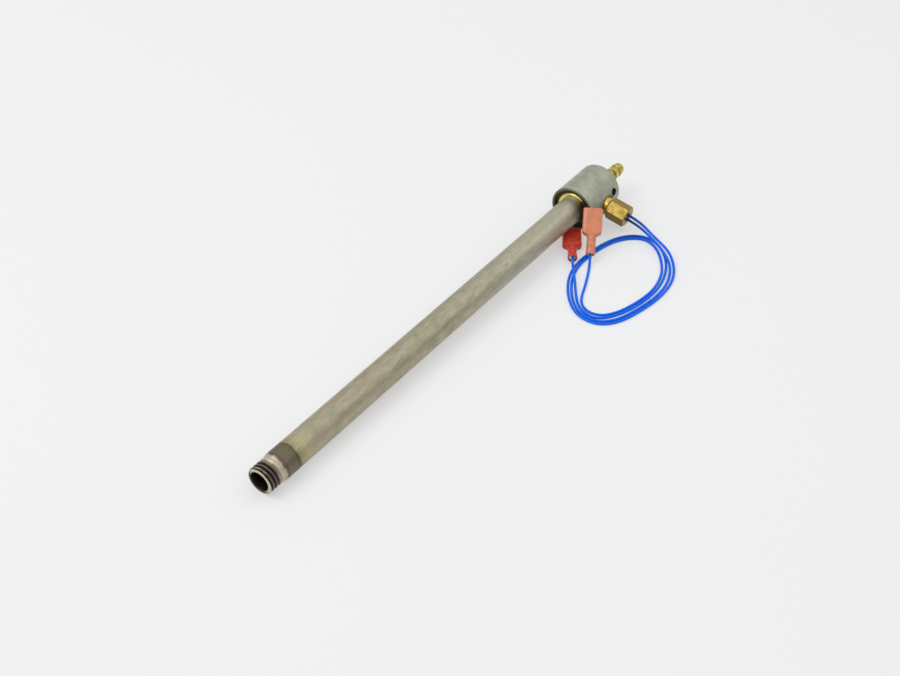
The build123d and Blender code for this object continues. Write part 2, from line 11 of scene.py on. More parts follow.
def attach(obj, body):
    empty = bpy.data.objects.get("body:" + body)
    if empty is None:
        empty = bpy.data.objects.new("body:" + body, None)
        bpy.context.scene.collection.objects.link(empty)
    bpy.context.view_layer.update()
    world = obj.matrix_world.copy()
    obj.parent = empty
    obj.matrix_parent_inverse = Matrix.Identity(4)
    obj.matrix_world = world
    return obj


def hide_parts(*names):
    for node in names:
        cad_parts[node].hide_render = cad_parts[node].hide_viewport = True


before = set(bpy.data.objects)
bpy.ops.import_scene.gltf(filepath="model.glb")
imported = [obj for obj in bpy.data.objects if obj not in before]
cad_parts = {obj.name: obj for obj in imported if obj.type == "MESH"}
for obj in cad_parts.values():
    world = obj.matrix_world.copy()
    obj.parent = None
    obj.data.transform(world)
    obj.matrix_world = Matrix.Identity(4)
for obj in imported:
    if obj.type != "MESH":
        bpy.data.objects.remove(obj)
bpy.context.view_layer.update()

bl_info = {
    "name": "Hot-air igniter",
    "version": (1, 0, 0),
    "blender": (4, 5, 0),
    "location": "3D View > Sidebar > Igniter",
    "description": "Builds the surfaces and finishes of a hot-air igniter element",
    "category": "Add Mesh",
}

MM = 0.001

# How the pipe lies: its outlet's centre, its slope up to the housing and its roll
OUTLET_AT = (-0.141375, 0.006539, 0.0066069)
PIPE_SLOPE = radians(1.30924)
PIPE_ROLL = radians(9.0)

# Lengths along the pipe from the outlet, in millimetres
THREAD_END = 8.6
THREAD_PHASE = 0.233         # a groove passes 2.7 mm from the outlet, a little to the gland's side
SHOULDER = 11.0
PIPE_END = 246.0
BUSHING_SHOULDER = 237.3
MOUTH = 235.5
GLAND_AXIS = 251.6
NUT_END = 24.598
NOSE_SPACING = 2.8
GROOVE_START, GROOVE_END = 10.0, 10.8
GROOVE_DEPTH = 0.35
BORE_EDGE = 4.75 * MM
EARTH_HOLE_AXIS = 257.9
EARTH_HOLE_ANGLE = radians(24.0)

# Light: the dome's strength at the horizon and overhead, and how much of the floor glows
HORIZON_LIGHT = 0.3
ZENITH_LIGHT = 0.9
FLOOR_SHARE = 0.5
FLOOR_WHITE = 1.0


def lie(points):
    """Points from the pipe's own frame in millimetres, X along it from the outlet, to the floor:
    rolled about the pipe's axis, tilted up to the housing and moved to the outlet's place."""
    x, y, z = np.moveaxis(np.asarray(points, dtype=float) * MM, -1, 0)
    y, z = y * cos(PIPE_ROLL) - z * sin(PIPE_ROLL), y * sin(PIPE_ROLL) + z * cos(PIPE_ROLL)
    x, z = x * cos(PIPE_SLOPE) - z * sin(PIPE_SLOPE), x * sin(PIPE_SLOPE) + z * cos(PIPE_SLOPE)
    return np.stack([x, y, z], axis=-1) + np.array(OUTLET_AT)


def direction(vector):
    """A direction of the pipe's own frame as it lies."""
    return (lie(vector) - lie((0, 0, 0))) / MM


def outwards(vertices, faces):
    """Turns the faces round if the closed shape's signed volume is negative."""
    a, b, c = vertices[faces[:, 0]], vertices[faces[:, 1]], vertices[faces[:, 2]]
    volume = np.einsum("ij,ij->i", a, np.cross(b, c)).sum()
    if faces.shape[1] == 4:
        d = vertices[faces[:, 3]]
        volume += np.einsum("ij,ij->i", a, np.cross(c, d)).sum()
    return faces if volume > 0 else faces[:, ::-1]


def ring_faces(rows, columns):
    """Quads of a grid that closes on itself both ways, as on a torus."""
    i, j = np.meshgrid(np.arange(rows), np.arange(columns), indexing="ij")
    k, m = (i + 1) % rows, (j + 1) % columns
    quads = np.stack([i * columns + j, i * columns + m, k * columns + m, k * columns + j], -1)
    return quads.reshape(-1, 4)


def finished(obj, material, nodes=()):
    """Gives a piece its finish and its body, and hides the solids that it stands for."""
    obj.data.materials.clear()
    obj.data.materials.append(material)
    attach(obj, "root")
    if nodes:
        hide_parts(*nodes)
    return obj


def surface(name, grid, uv=None, shade_depth=None):
    """Closed mesh from a grid of points, rows along a profile and columns round it."""
    rows, columns = grid.shape[:2]
    vertices = grid.reshape(-1, 3)
    faces = outwards(vertices, ring_faces(rows, columns))
    mesh = bpy.data.meshes.new(name)
    mesh.from_pydata(vertices.tolist(), [], faces.tolist())
    if uv is not None:
        layer = mesh.uv_layers.new(name="UVMap")
        layer.data.foreach_set("uv", uv.reshape(-1, 2)[faces.ravel()].ravel())
    # How deep the thread's groove is at each point; the pipe's finish turns it into painted shade and
    # dirt.
    if shade_depth is not None:
        attribute = mesh.attributes.new("depth", "FLOAT", "POINT")
        attribute.data.foreach_set("value", shade_depth.ravel())
    mesh.update()
    mesh.shade_smooth()
    mesh.set_sharp_from_angle(angle=radians(35))
    obj = bpy.data.objects.new(name, mesh)
    bpy.context.scene.collection.objects.link(obj)
    return obj


def smooth_copy(name, node, sharp=30.0, bevel=0.0):
    """Copy of a solid with its vertices merged, smooth where it curves, its edges eased."""
    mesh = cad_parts[node].data.copy()
    mesh.name = name
    obj = bpy.data.objects.new(name, mesh)
    bpy.context.scene.collection.objects.link(obj)
    weld(mesh)
    mesh.shade_smooth()
    mesh.set_sharp_from_angle(angle=radians(sharp))
    if bevel:
        ease = obj.modifiers.new("eased edges", "BEVEL")
        ease.width = bevel * MM
        ease.segments = 2
        ease.limit_method = "ANGLE"
        ease.angle_limit = radians(sharp)
        ease.harden_normals = True
    return obj


def weld(mesh):
    """Merges the loose triangles' doubled vertices, by sorting them on a fine grid."""
    count = len(mesh.vertices)
    place = np.empty(count * 3)
    mesh.vertices.foreach_get("co", place)
    place = place.reshape(-1, 3)
    _, first, same = np.unique(np.round(place / 1e-6), axis=0, return_index=True,
                               return_inverse=True)
    corners = np.empty(len(mesh.loops), dtype=int)
    mesh.loops.foreach_get("vertex_index", corners)
    triangles = same.ravel()[corners].reshape(-1, 3)
    whole = (np.diff(np.sort(triangles, axis=1), axis=1) > 0).all(axis=1)
    mesh.clear_geometry()
    mesh.from_pydata(place[first].tolist(), [], triangles[whole].tolist())
    mesh.update()


# Finishes


class Finish:
    """A node material with one shader, and short calls for the nodes that feed it."""

    def __init__(self, name, **sockets):
        self.material = bpy.data.materials.new(name)
        self.material.use_nodes = True
        self.tree = self.material.node_tree
        self.shader = self.tree.nodes["Principled BSDF"]
        for socket, value in sockets.items():
            self.shader.inputs[socket.replace("_", " ")].default_value = value

    def node(self, kind, sockets=None, **settings):
        made = self.tree.nodes.new(kind)
        for key, value in settings.items():
            setattr(made, key, value)
        for socket, value in (sockets or {}).items():
            if isinstance(value, bpy.types.NodeSocket):
                self.tree.links.new(value, made.inputs[socket])
            else:
                made.inputs[socket].default_value = value
        return made

    def along_pipe(self, scale=(1, 1, 1)):
        """Object coordinates turned so that X runs along the pipe from its outlet."""
        place = self.node("ShaderNodeTexCoord").outputs["Object"]
        moved = self.node("ShaderNodeVectorMath", {0: place, 1: OUTLET_AT}, operation="SUBTRACT")
        turned = self.node("ShaderNodeMapping", {
            "Vector": moved.outputs[0], "Rotation": (0, PIPE_SLOPE, 0), "Scale": (1, 1, 1),
        })
        stretched = self.node("ShaderNodeVectorMath", {0: turned.outputs[0], 1: scale},
                              operation="MULTIPLY")
        return stretched.outputs[0]

    def place(self, scale=(1, 1, 1)):
        """Object coordinates, stretched."""
        spot = self.node("ShaderNodeTexCoord").outputs["Object"]
        return self.node("ShaderNodeVectorMath", {0: spot, 1: scale},
                         operation="MULTIPLY").outputs[0]

    def split(self, vector):
        """The three parts of a vector, and its distance from the X axis."""
        parts = self.node("ShaderNodeSeparateXYZ", {0: vector}).outputs
        across = self.node("ShaderNodeVectorMath", {0: vector, 1: (0, 1, 1)},
                           operation="MULTIPLY").outputs[0]
        radius = self.node("ShaderNodeVectorMath", {0: across}, operation="LENGTH")
        return parts["X"], parts["Y"], parts["Z"], radius.outputs["Value"]

    def near_ray(self, start, along, inner, outer):
        """1 within the inner radius of a ray from a point, down to 0 at the outer radius."""
        spot = self.node("ShaderNodeTexCoord").outputs["Object"]
        arm = self.node("ShaderNodeVectorMath", {0: spot, 1: start}, operation="SUBTRACT")
        reach = self.node("ShaderNodeVectorMath", {0: arm.outputs[0], 1: along},
                          operation="DOT_PRODUCT").outputs["Value"]
        foot = self.node("ShaderNodeVectorMath", {0: along,
                         "Scale": self.math("MAXIMUM", reach, 0.0)}, operation="SCALE")
        off = self.node("ShaderNodeVectorMath", {0: arm.outputs[0], 1: foot.outputs[0]},
                        operation="DISTANCE").outputs["Value"]
        return self.span(off, inner, outer, 1.0, 0.0)

    def noise(self, vector, scale, detail=4.0, roughness=0.55):
        return self.node("ShaderNodeTexNoise", {
            "Vector": vector, "Scale": scale, "Detail": detail, "Roughness": roughness,
        }).outputs["Fac"]

    def ramp(self, factor, stops):
        """Colour ramp from (place, colour) stops."""
        made = self.node("ShaderNodeValToRGB", {"Fac": factor})
        ramp = made.color_ramp
        while len(ramp.elements) < len(stops):
            ramp.elements.new(0.5)
        for element, (position, colour) in zip(ramp.elements, stops):
            element.position = position
            element.color = (*colour, 1)
        return made.outputs["Color"]

    def span(self, value, low, high, to_low=0.0, to_high=1.0):
        """A value carried from one range to another, and clamped."""
        return self.node("ShaderNodeMapRange", {
            "Value": value, "From Min": low, "From Max": high, "To Min": to_low,
            "To Max": to_high,
        }).outputs["Result"]

    def mix(self, factor, a, b, blend="MIX"):
        made = self.node("ShaderNodeMix", data_type="RGBA", blend_type=blend)
        for socket, value in ((0, factor), (6, a), (7, b)):
            if isinstance(value, bpy.types.NodeSocket):
                self.tree.links.new(value, made.inputs[socket])
            elif socket:
                made.inputs[socket].default_value = (*value, 1)
            else:
                made.inputs[socket].default_value = value
        return made.outputs[2]

    def math(self, operation, a, b=0.0):
        return self.node("ShaderNodeMath", {0: a, 1: b}, operation=operation).outputs[0]

    def colour(self, socket):
        self.tree.links.new(socket, self.shader.inputs["Base Color"])

    def gloss(self, socket):
        self.tree.links.new(socket, self.shader.inputs["Roughness"])

    def relief(self, height, depth, strength=1.0):
        """Bump of a depth in millimetres."""
        bump = self.node("ShaderNodeBump", {
            "Height": height, "Distance": depth * MM, "Strength": strength,
        })
        self.tree.links.new(bump.outputs[0], self.shader.inputs["Normal"])


def pipe_finish(looks):
    """Scaled steel pipe: dull beige with faint lengthwise stains, browned by heat behind the
    thread, with painted shade and dirt in the thread's grooves, darkest in the first ones, soot in
    the bore, painted shade on the lower side of the outlet face, and a painted shadow of the
    leaning terminal on its side next to the housing."""
    steel = Finish("scaled pipe steel", Metallic=0.6)
    flow = steel.along_pipe()
    distance, side, _, radius = steel.split(flow)
    streaks = steel.noise(steel.along_pipe((150, 1300, 1300)), 1.0, 6.0, 0.65)
    clouds = steel.noise(steel.along_pipe((170, 330, 330)), 1.0, 5.0, 0.62)
    tint = steel.noise(steel.along_pipe((45, 100, 100)), 1.0, 2.0, 0.5)
    specks = steel.noise(flow, 2200.0, 3.0, 0.6)
    plain = steel.mix(steel.span(clouds, 0.33, 0.67), tuple(looks.pipe_stain),
                      tuple(looks.pipe_steel))
    plain = steel.mix(steel.span(streaks, 0.4, 0.75, 0.0, 0.4), plain, (0.52, 0.49, 0.38))
    plain = steel.mix(steel.span(tint, 0.5, 0.72, 0.0, 0.5), plain, (0.46, 0.37, 0.27))
    plain = steel.mix(steel.span(tint, 0.45, 0.3, 0.0, 0.5), plain, (0.35, 0.36, 0.22))
    cool = steel.span(distance, 120.0 * MM, 200.0 * MM, 0.0, 0.35)
    plain = steel.mix(cool, plain, (0.58, 0.56, 0.47))
    ragged = steel.math("ADD", distance, steel.span(clouds, 0.3, 0.7, -0.9 * MM, 0.9 * MM))
    heat = steel.ramp(steel.span(ragged, 0.0, 30.0 * MM), [
        (0.0, (0.6, 0.57, 0.38)), (0.02, (0.58, 0.54, 0.36)), (0.05, (0.22, 0.16, 0.13)),
        (0.17, (0.2, 0.14, 0.12)), (0.2, (0.36, 0.28, 0.23)), (0.24, (0.66, 0.56, 0.43)),
        (0.32, (0.5, 0.4, 0.3)), (0.35, (0.12, 0.09, 0.06)), (0.4, (0.17, 0.14, 0.1)),
        (0.56, (0.15, 0.13, 0.08)), (0.595, (0.09, 0.08, 0.035)), (0.62, (0.33, 0.3, 0.15)),
        (0.76, (0.46, 0.42, 0.25)), (1.0, (0.45, 0.41, 0.28)),
    ])
    body = steel.mix(steel.span(ragged, 24.0 * MM, 30.0 * MM), heat, plain)
    body = steel.mix(steel.span(streaks, 0.5, 0.3, 0.0, 0.3), body, (0.16, 0.13, 0.08))
    # Painted shade and dirt in the thread's grooves: darker the deeper the groove, most in the first
    # grooves near the outlet.
    groove = steel.node("ShaderNodeAttribute", attribute_name="depth").outputs["Fac"]
    groove_shade_and_dirt = steel.math("ADD", groove, steel.span(specks, 0.35, 0.7, -0.1, 0.1))
    filled = steel.span(distance, 4.9 * MM, 6.2 * MM, 0.98, 0.35)
    groove_shade_and_dirt = steel.math("MULTIPLY", steel.span(groove_shade_and_dirt, 0.06, 0.4), filled)
    body = steel.mix(groove_shade_and_dirt, body, (0.013, 0.009, 0.007))
    body = steel.mix(steel.span(specks, 0.64, 0.74, 0.0, 0.5), body, (0.16, 0.13, 0.09))
    # Painted shadow of the leaning terminal on the pipe's side next to the housing.
    terminal_shadow = steel.math("MULTIPLY", steel.span(distance, 226.0 * MM, 234.0 * MM, 0.0, 0.9),
                        steel.span(side, -5.5 * MM, -1.5 * MM, 1.0, 0.0))
    body = steel.mix(terminal_shadow, body, (0.09, 0.06, 0.03))
    # Painted shade on the lower side of the outlet face, joined below with the soot in the bore.
    lower = steel.node("ShaderNodeVectorMath", {0: flow, 1: (0, -0.6, 0.8)},
                       operation="DOT_PRODUCT").outputs["Value"]
    lower = steel.span(lower, -2.5 * MM, 1.0 * MM, 0.95, 0.0)
    face = steel.span(distance, 0.3 * MM, 0.8 * MM, 1.0, 0.0)
    inside = steel.span(radius, BORE_EDGE, BORE_EDGE + 0.25 * MM, 0.98, 0.0)
    soot = steel.math("MAXIMUM", steel.math("MULTIPLY", lower, face), inside)
    steel.colour(steel.mix(soot, body, (0.01, 0.008, 0.006)))
    steel.gloss(steel.span(clouds, 0.3, 0.7, 0.5, 0.36))
    steel.relief(steel.math("ADD", streaks, specks), 0.02, 0.45)
    return steel.material


def housing_finish(looks):
    """Dull grey-green plating with fine turning marks and blotches, painted contact shade with some
    dirt round the gland, and painted shade on the rim and in the recess of the mouth and in the earth
    hole."""
    plate = Finish("dull plated steel", Metallic=0.55)
    flow = plate.along_pipe()
    distance, _, _, radius = plate.split(flow)
    rings = plate.noise(plate.along_pipe((9000, 60, 60)), 1.0, 3.0, 0.5)
    clouds = plate.noise(plate.place(), 170.0, 5.0, 0.6)
    specks = plate.noise(plate.place(), 1700.0, 3.0, 0.6)
    base = plate.mix(plate.span(clouds, 0.35, 0.68), tuple(0.74 * c for c in looks.housing),
                     tuple(looks.housing))
    base = plate.mix(plate.span(rings, 0.35, 0.7, 0.0, 0.22), base, (0.2, 0.19, 0.12))
    base = plate.mix(plate.span(specks, 0.6, 0.74, 0.0, 0.5), base, (0.16, 0.15, 0.11))
    # Painted contact shade with some dirt, in a ring round the gland's seat, blotched by the specks.
    gland = plate.near_ray(tuple(lie((GLAND_AXIS, 0, 0))), tuple(direction((0, -1, 0))),
                           5.2 * MM, 6.8 * MM)
    gland = plate.math("MULTIPLY", gland, plate.span(specks, 0.3, 0.6, 0.4, 0.85))
    base = plate.mix(gland, base, (0.1, 0.085, 0.045))
    # Painted shade in the earth hole, on the front rim of the mouth and in the recess behind it; dark
    # joins the three.
    hole = plate.near_ray(tuple(lie((EARTH_HOLE_AXIS, 0, 0))),
                          tuple(direction((0, -cos(EARTH_HOLE_ANGLE), sin(EARTH_HOLE_ANGLE)))),
                          2.03 * MM, 2.25 * MM)
    rim = plate.span(distance, (MOUTH + 0.3) * MM, (MOUTH + 0.8) * MM, 0.8, 0.0)
    recess = plate.math("MULTIPLY", plate.span(radius, 10.75 * MM, 11.0 * MM, 0.95, 0.0),
                        plate.span(distance, (MOUTH + 9) * MM, (MOUTH + 10) * MM, 1.0, 0.0))
    dark = plate.math("MAXIMUM", plate.math("MAXIMUM", rim, recess), hole)
    plate.colour(plate.mix(dark, base, (0.1, 0.1, 0.052)))
    plate.gloss(plate.span(clouds, 0.3, 0.7, 0.55, 0.42))
    plate.relief(plate.math("ADD", rings, plate.math("MULTIPLY", clouds, 0.6)), 0.02, 0.45)
    return plate.material


def brass_finish(name, colour, tarnish, shaded_side=(0, -1, 0), stain=0.0):
    """Turned brass, bright on its faces, with brown spots and dark specks, and painted shade that
    darkens it on the side that the given direction of the pipe's frame points to."""
    brass = Finish(name, Metallic=0.85)
    rings = brass.noise(brass.place(), 2400.0, 2.0, 0.5)
    clouds = brass.noise(brass.place(), 420.0, 5.0, 0.62)
    bright = brass.mix(brass.span(rings, 0.3, 0.7), tuple(0.82 * c for c in colour), colour)
    brown = brass.mix(brass.span(clouds, 0.46, 0.7, 0.0, tarnish), bright, (0.13, 0.085, 0.02))
    brown = brass.mix(brass.span(rings, 0.62, 0.72, 0.0, 0.6), brown, (0.07, 0.045, 0.015))
    # Painted shade on the faces that look the given way, as strong as the stain argument.
    facing = brass.node("ShaderNodeVectorMath", {
        0: brass.node("ShaderNodeNewGeometry").outputs["Normal"], 1: tuple(direction(shaded_side)),
    }, operation="DOT_PRODUCT").outputs["Value"]
    facing = brass.math("ADD", facing, brass.span(clouds, 0.3, 0.7, -0.15, 0.15))
    brass.colour(brass.mix(brass.span(facing, 0.45, 0.9, 0.0, stain), brown,
                           (0.12, 0.075, 0.02)))
    brass.gloss(brass.span(clouds, 0.3, 0.75, 0.26, 0.5))
    brass.relief(rings, 0.012, 0.5)
    return brass.material


def bushing_finish(looks):
    """The bushing's brass, with painted light at the top left of its ring and painted shade in brown
    elsewhere.
    """
    brass = Finish("bushing brass in painted light and shade", Metallic=0.85, Roughness=0.34)
    _, side, height, _ = brass.split(brass.along_pipe())
    clouds = brass.noise(brass.place(), 500.0, 4.0, 0.6)
    # Painted light on the ring's top left and painted shade in dark brown on the rest.
    lit = brass.math("ADD", side, height)
    lit = brass.math("ADD", lit, brass.span(clouds, 0.3, 0.7, -1.5 * MM, 1.5 * MM))
    brass.colour(brass.mix(brass.span(lit, 0.0, 5.0 * MM), (0.09, 0.065, 0.025),
                           tuple(looks.bright_brass)))
    brass.relief(clouds, 0.015, 0.4)
    return brass.material


def fibre_finish():
    """Brown sealing compound with a coarse grain."""
    fibre = Finish("brown sealing ring", Roughness=0.75)
    grain = fibre.noise(fibre.place(), 1500.0, 5.0, 0.65)
    fibre.colour(fibre.mix(grain, (0.02, 0.013, 0.006), (0.15, 0.09, 0.04)))
    fibre.relief(grain, 0.08, 0.8)
    return fibre.material


def rubber_finish():
    """Black rubber with a faint bloom."""
    rubber = Finish("black rubber", Roughness=0.6)
    bloom = rubber.noise(rubber.place(), 900.0, 4.0, 0.6)
    rubber.colour(rubber.mix(bloom, (0.012, 0.012, 0.013), (0.05, 0.05, 0.052)))
    rubber.relief(bloom, 0.02, 0.5)
    return rubber.material


def dark_steel_finish():
    """Blued spring steel with rubbed spots."""
    steel = Finish("blued spring steel", Metallic=0.8, Roughness=0.45)
    spots = steel.noise(steel.place(), 1300.0, 4.0, 0.6)
    steel.colour(steel.mix(steel.span(spots, 0.4, 0.7), (0.06, 0.055, 0.05), (0.22, 0.2, 0.17)))
    steel.relief(spots, 0.02, 0.4)
    return steel.material


def ceramic_finish():
    """Fired ceramic, off-white and sooted towards the outlet."""
    ceramic = Finish("fired heater ceramic", Roughness=0.8)
    flow = ceramic.along_pipe()
    distance = ceramic.node("ShaderNodeSeparateXYZ", {0: flow}).outputs["X"]
    grain = ceramic.noise(ceramic.place(), 1800.0, 5.0, 0.6)
    clean = ceramic.mix(grain, (0.62, 0.57, 0.47), (0.82, 0.78, 0.68))
    soot = ceramic.span(distance, 12.0 * MM, 60.0 * MM, 0.85, 0.0)
    ceramic.colour(ceramic.mix(soot, clean, (0.1, 0.08, 0.055)))
    ceramic.relief(grain, 0.03, 0.6)
    return ceramic.material


def wire_metal_finish(name, dark, light, roughness):
    """Drawn wire or pressed strip with a lengthwise grain and slight oxidation."""
    metal = Finish(name, Metallic=0.95, Roughness=roughness)
    grain = metal.noise(metal.place((1, 1, 3)), 1100.0, 4.0, 0.6)
    metal.colour(metal.mix(metal.span(grain, 0.3, 0.7), dark, light))
    metal.relief(grain, 0.01, 0.4)
    return metal.material


def insulation_finish(looks):
    """Blue wire covering with a soft sheen and faint scuffs, darker navy near the gland."""
    cover = Finish("blue wire covering", Roughness=0.36, Specular_IOR_Level=0.24)
    scuffs = cover.noise(cover.place(), 700.0, 4.0, 0.6)
    shade = cover.mix(cover.span(scuffs, 0.35, 0.65), tuple(0.8 * c for c in looks.wire),
                      tuple(looks.wire))
    nose = tuple(lie((GLAND_AXIS, -NUT_END, 0)))
    near = cover.node("ShaderNodeVectorMath", {
        0: cover.node("ShaderNodeTexCoord").outputs["Object"], 1: nose,
    }, operation="DISTANCE").outputs["Value"]
    cover.colour(cover.mix(cover.span(near, 4.0 * MM, 16.0 * MM, 0.8, 0.0), shade,
                           (0.012, 0.018, 0.13)))
    cover.relief(scuffs, 0.012, 0.4)
    return cover.material


def nylon_finish(name, light, deep):
    """Translucent coloured nylon, paler where it is thin, with faint flow marks."""
    nylon = Finish(name, Roughness=0.34, IOR=1.53, Transmission_Weight=0.3,
                   Subsurface_Weight=0.35, Subsurface_Scale=1.5 * MM)
    nylon.shader.inputs["Subsurface Radius"].default_value = (1.0, 0.35, 0.25)
    flow = nylon.noise(nylon.place(), 210.0, 3.0, 0.5)
    grain = nylon.noise(nylon.place(), 1500.0, 3.0, 0.5)
    nylon.colour(nylon.mix(nylon.span(flow, 0.35, 0.65), deep, light))
    nylon.relief(grain, 0.02, 0.35)
    return nylon.material


def floor_finish(looks):
    """White paper, partly as bright as the background it stands for, so its shadows are pale."""
    paper = Finish("floor paper", Roughness=0.9)
    shade = paper.mix(paper.noise(paper.place(), 6.0, 3.0, 0.5),
                      tuple(0.99 * c for c in looks.floor), tuple(looks.floor))
    paper.colour(shade)
    path = paper.node("ShaderNodeLightPath").outputs
    seen = paper.math("MAXIMUM", path["Is Camera Ray"], path["Is Glossy Ray"])
    seen = paper.math("MAXIMUM", seen, path["Is Transmission Ray"])
    white = paper.node("ShaderNodeEmission", {"Color": shade, "Strength": FLOOR_WHITE})
    both = paper.node("ShaderNodeMixShader", {
        0: paper.math("MULTIPLY", seen, FLOOR_SHARE), 1: paper.shader.outputs[0],
        2: white.outputs[0],
    })
    paper.tree.links.new(both.outputs[0], paper.tree.nodes["Material Output"].inputs[0])
    return paper.material


def studio_sky():
    """Soft white dome, brightest overhead and dimmer towards the horizon."""
    world = bpy.data.worlds.new("studio")
    world.use_nodes = True
    tree = world.node_tree
    toward = tree.nodes.new("ShaderNodeTexCoord")
    parts = tree.nodes.new("ShaderNodeSeparateXYZ")
    height = tree.nodes.new("ShaderNodeMapRange")
    for socket, value in (("From Min", 0.0), ("From Max", 0.75), ("To Min", HORIZON_LIGHT),
                          ("To Max", ZENITH_LIGHT)):
        height.inputs[socket].default_value = value
    background = tree.nodes["Background"]
    background.inputs["Color"].default_value = (0.98, 0.99, 1.0, 1)
    tree.links.new(toward.outputs["Generated"], parts.inputs[0])
    tree.links.new(parts.outputs["Z"], height.inputs["Value"])
    tree.links.new(height.outputs[0], background.inputs["Strength"])
    return world


# Sizes and colours that a user would change


class PipeSizes(bpy.types.PropertyGroup):
    """The pipe and its outlet thread."""

    pipe_radius: FloatProperty(name="Pipe radius", description="Outside radius of the pipe",
                               default=6.86 * MM, unit="LENGTH", precision=5)
    bore_radius: FloatProperty(name="Bore radius", description="Inside radius of the pipe",
                               default=4.62 * MM, unit="LENGTH", precision=5)
    crest_radius: FloatProperty(name="Crest radius", description="Outside radius of the threads",
                                default=6.5 * MM, unit="LENGTH", precision=5)
    thread_pitch: FloatProperty(name="Thread pitch", description="From one crest to the next",
                                default=2.0 * MM, unit="LENGTH", precision=5)
    thread_depth: FloatProperty(name="Thread depth", description="From crest to root",
                                default=0.85 * MM, unit="LENGTH", precision=5)


class LeadSizes(bpy.types.PropertyGroup):
    """The leads and their terminals."""

    wire_radius: FloatProperty(name="Wire radius", description="Outside radius of a lead",
                               default=0.7 * MM, unit="LENGTH", precision=5)
    sleeve_length: FloatProperty(name="Terminal length", description="Length of a terminal",
                                 default=24.2 * MM, unit="LENGTH", precision=5)
    barrel_radius: FloatProperty(name="Barrel radius", description="Round end of a terminal",
                                 default=2.45 * MM, unit="LENGTH", precision=5)
    head_width: FloatProperty(name="Head width", description="Width of a terminal's flat head",
                              default=9.8 * MM, unit="LENGTH", precision=5)
    head_height: FloatProperty(name="Head height", description="Thickness of the flat head",
                               default=4.9 * MM, unit="LENGTH", precision=5)


class Looks(bpy.types.PropertyGroup):
    """Main colours."""

    pipe_steel: FloatVectorProperty(name="Pipe steel", description="Clean steel of the pipe",
                                    subtype="COLOR", size=3, default=(0.46, 0.42, 0.29))
    pipe_stain: FloatVectorProperty(name="Pipe stain", description="Stains along the pipe",
                                    subtype="COLOR", size=3, default=(0.33, 0.3, 0.19))
    housing: FloatVectorProperty(name="Housing", description="Plating of the housing",
                                 subtype="COLOR", size=3, default=(0.5, 0.505, 0.385))
    brass: FloatVectorProperty(name="Brass", description="Brass of the gland",
                               subtype="COLOR", size=3, default=(0.88, 0.62, 0.135))
    bright_brass: FloatVectorProperty(name="Bright brass",
                                      description="Brass of the nipple and the bushing",
                                      subtype="COLOR", size=3, default=(0.82, 0.7, 0.21))
    wire: FloatVectorProperty(name="Wire", description="Covering of the leads",
                              subtype="COLOR", size=3, default=(0.0, 0.16, 0.92))
    nylon_a: FloatVectorProperty(name="Lying terminal", description="Nylon of the lying terminal",
                                 subtype="COLOR", size=3, default=(0.95, 0.078, 0.036))
    nylon_b: FloatVectorProperty(name="Leaning terminal",
                                 description="Nylon of the leaning terminal",
                                 subtype="COLOR", size=3, default=(1.0, 0.36, 0.19))
    floor: FloatVectorProperty(name="Floor", description="Paper under the object",
                               subtype="COLOR", size=3, default=(0.87, 0.87, 0.875))


# Routes of the leads from the gland to the terminals, in metres on the floor, from below the point
# where the gland's axis meets the pipe's
FLOOR_POINT = (0.110159, 0.0065388, 0.0)
LEAD_A_ROUTE = [
    (-0.0026, -0.0416, 0.0055), (-0.0067, -0.0536, 0.0036), (-0.0156, -0.0619, 0.0010),
    (-0.0268, -0.0659, 0.0007), (-0.0400, -0.0665, 0.0007), (-0.0530, -0.0645, 0.0007),
    (-0.0650, -0.0614, 0.0007), (-0.0728, -0.0563, 0.0007), (-0.0760, -0.0488, 0.0007),
    (-0.0736, -0.0390, 0.0007), (-0.0642, -0.0294, 0.0007), (-0.0518, -0.0221, 0.0007),
    (-0.0398, -0.0195, 0.0007), (-0.0300, -0.0199, 0.0007), (-0.0206, -0.0208, 0.0007),
    (-0.0104, -0.0237, 0.0007), (-0.0025, -0.0292, 0.0007), (0.0010, -0.0367, 0.0007),
    (-0.0020, -0.0459, 0.0007), (-0.0103, -0.0540, 0.0007), (-0.0213, -0.0598, 0.0007),
    (-0.0339, -0.0626, 0.0007), (-0.0459, -0.0619, 0.0007), (-0.0558, -0.0598, 0.0007),
    (-0.0638, -0.0567, 0.0007), (-0.0698, -0.0527, 0.0007), (-0.0723, -0.0469, 0.0007),
    (-0.0693, -0.0391, 0.0007), (-0.0626, -0.0332, 0.0011), (-0.0552, -0.0279, 0.0026),
]
